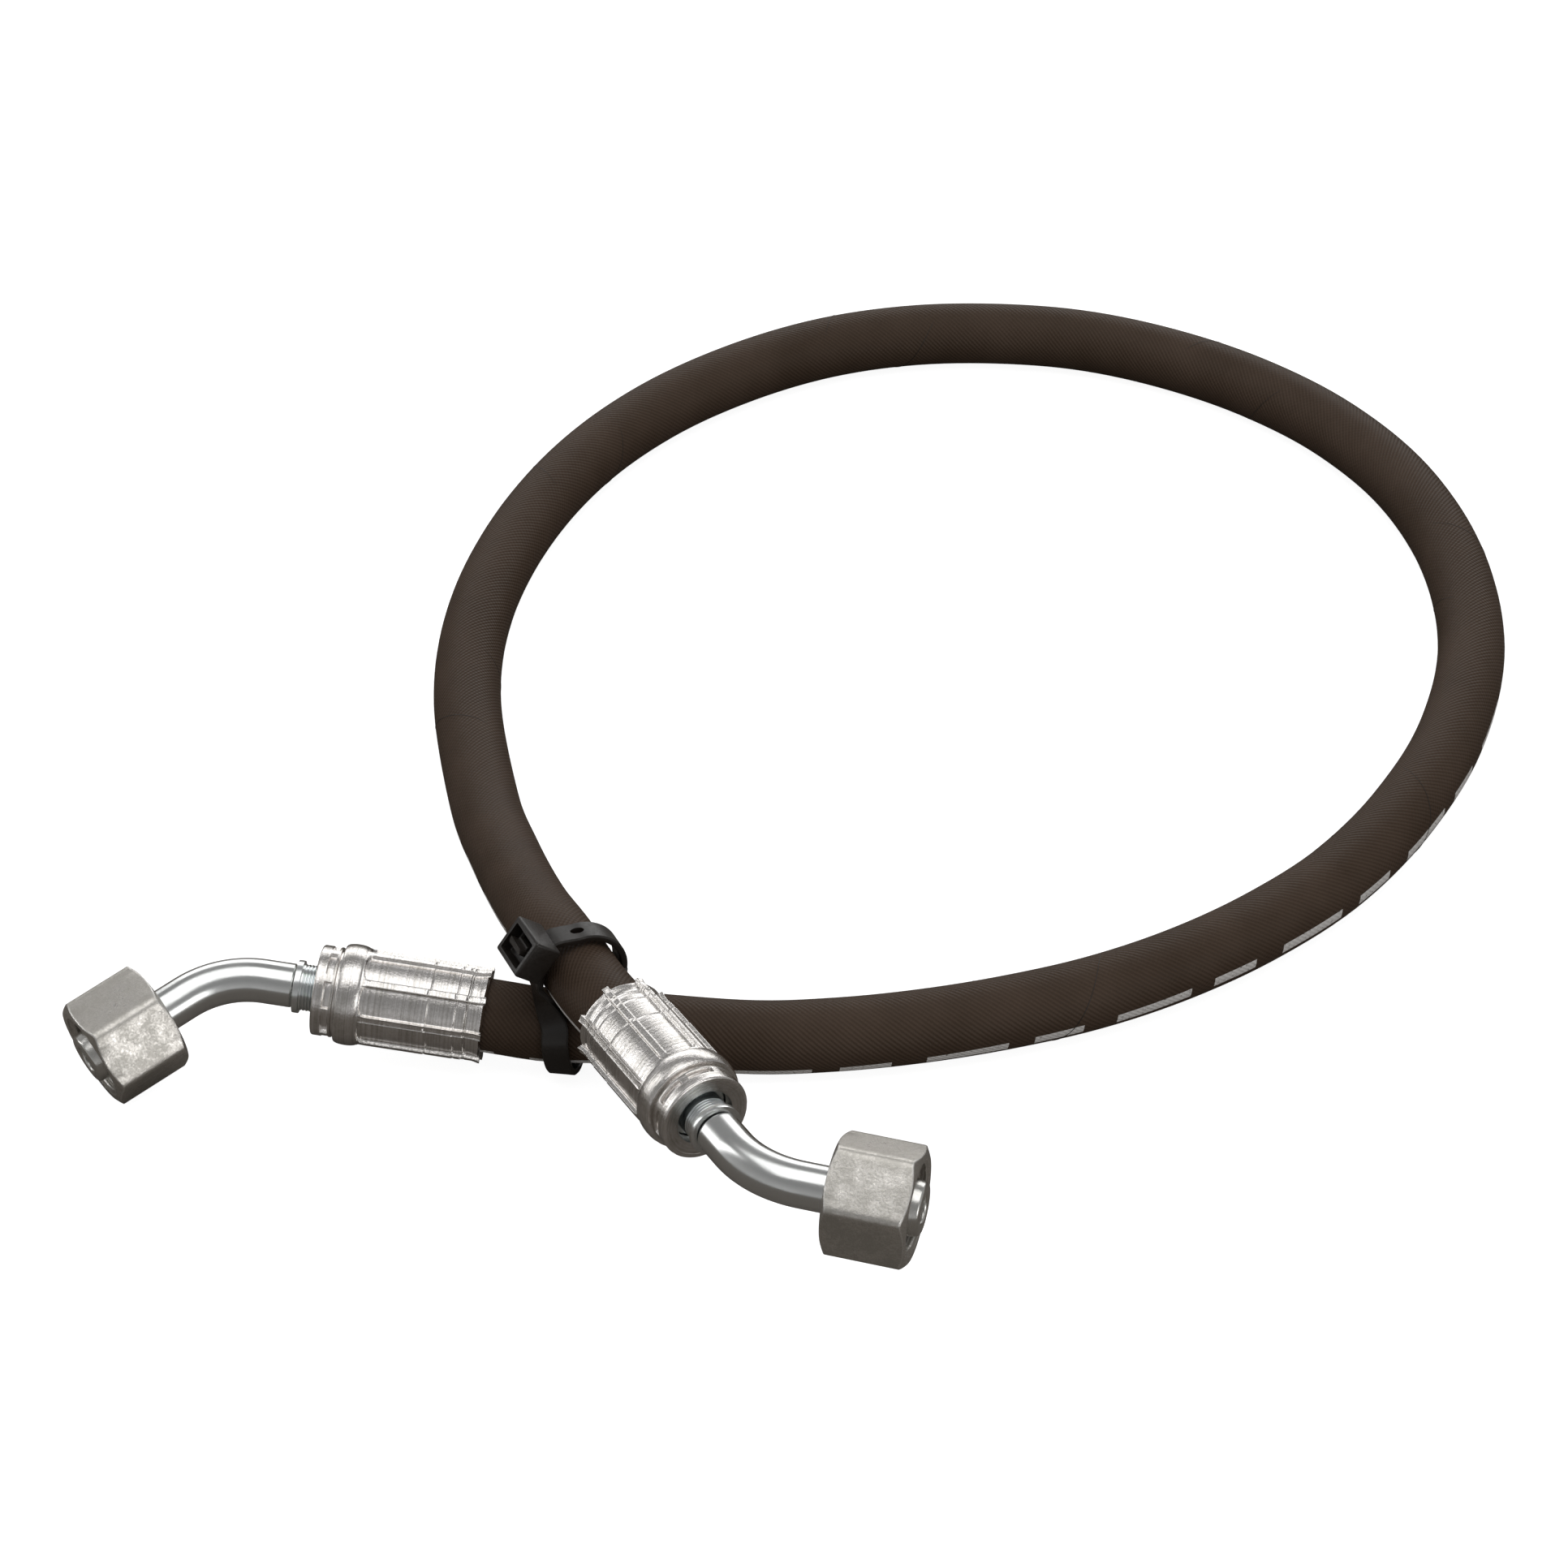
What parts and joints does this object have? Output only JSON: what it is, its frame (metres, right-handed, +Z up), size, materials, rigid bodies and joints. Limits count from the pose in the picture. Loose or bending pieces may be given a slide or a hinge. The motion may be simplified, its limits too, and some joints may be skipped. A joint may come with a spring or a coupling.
{
  "type": "hydraulic hose assembly",
  "caption": "Short wire-braid hydraulic hose laid in a tied loop, with a crimped 45 degree swivel nut fitting on each end.",
  "frame": {"origin": "on the floor, under the middle of the box round the two end fittings and the cable tie", "axes": "+Z up from the floor; +X from end a's nut towards end b's nut; the hose loop lies towards +Y"},
  "size_m": [0.2761, 0.3073, 0.0389],
  "materials": {
    "cover_rubber": "satin black rubber with a fine diagonal cloth weave and a broken white line",
    "braid_wire": "brass-coated steel wire braid",
    "liner_rubber": "smooth black nitrile rubber",
    "zinc_bright": "bright zinc plate with die marks",
    "zinc_tube": "smooth drawn tube, bright zinc plate with a faint blue passivation tint",
    "zinc_dull": "dull mottled grey zinc plate, edges worn bright",
    "seal_rubber": "black nitrile O-ring",
    "tie_nylon": "black moulded nylon"
  },
  "bodies": {
    "root": {"hose_cover": "cover_rubber", "wire_braid": "braid_wire", "inner_tube": "liner_rubber", "ferrule_a": "zinc_bright", "stem_a": "zinc_tube", "elbow_tube_a": "zinc_tube", "cone_head_a": "zinc_bright", "o_ring_a": "seal_rubber", "ferrule_b": "zinc_bright", "stem_b": "zinc_tube", "elbow_tube_b": "zinc_tube", "cone_head_b": "zinc_bright", "o_ring_b": "seal_rubber", "cable_tie": "tie_nylon"},
    "nut_a": {"swivel_nut_a": "zinc_dull"},
    "nut_b": {"swivel_nut_b": "zinc_dull"}
  },
  "joints": [
    {"name": "nut_a_spin", "type": "hinge", "parent": "root", "child": "nut_a", "pos_m": [-0.05989, 0.02862, 0.01243], "axis": [-0.7973, -0.5732, -0.1892], "continuous": true},
    {"name": "nut_b_spin", "type": "hinge", "parent": "root", "child": "nut_b", "pos_m": [0.06045, -0.03078, 0.02796], "axis": [0.9633, -0.2683, -0.0034], "continuous": true}
  ]
}
